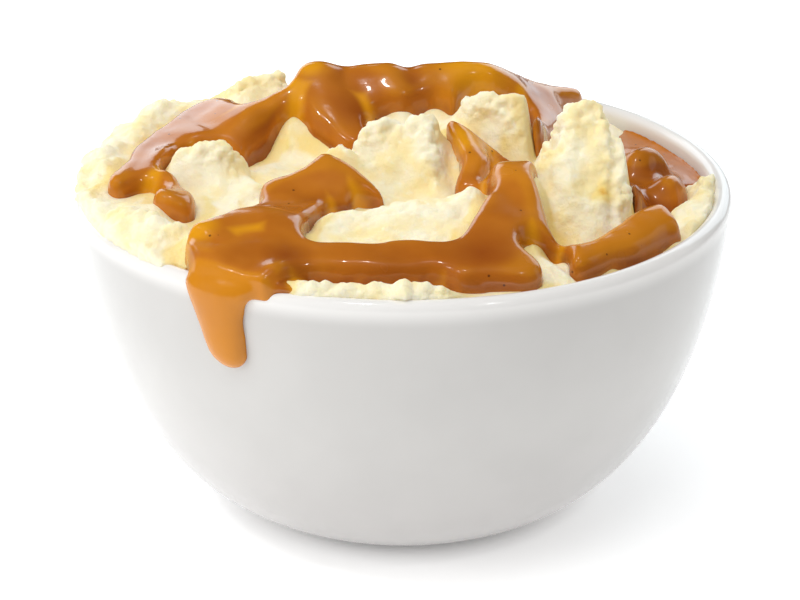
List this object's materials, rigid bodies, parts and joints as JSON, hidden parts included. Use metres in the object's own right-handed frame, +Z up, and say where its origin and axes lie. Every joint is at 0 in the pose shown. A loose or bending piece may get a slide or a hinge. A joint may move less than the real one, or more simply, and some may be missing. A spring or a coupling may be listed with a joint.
{
  "type": "mashed potato side",
  "caption": "Round white bowl heaped with craggy mashed potato, with thick brown gravy poured over it and one drip down the outside.",
  "frame": {"origin": "centre of the bowl's foot, on the surface that it stands on", "axes": "+Z up, -Y towards the side with the drip, +X to the right of that side"},
  "size_m": [0.13, 0.13, 0.0847],
  "materials": {
    "glazed_bowl": "gloss",
    "mash": "satin",
    "gravy": "gloss"
  },
  "bodies": {
    "root": {"bowl": "glazed_bowl", "mash": "mash", "gravy": "gravy", "gravy_pool": "gravy"}
  },
  "joints": []
}
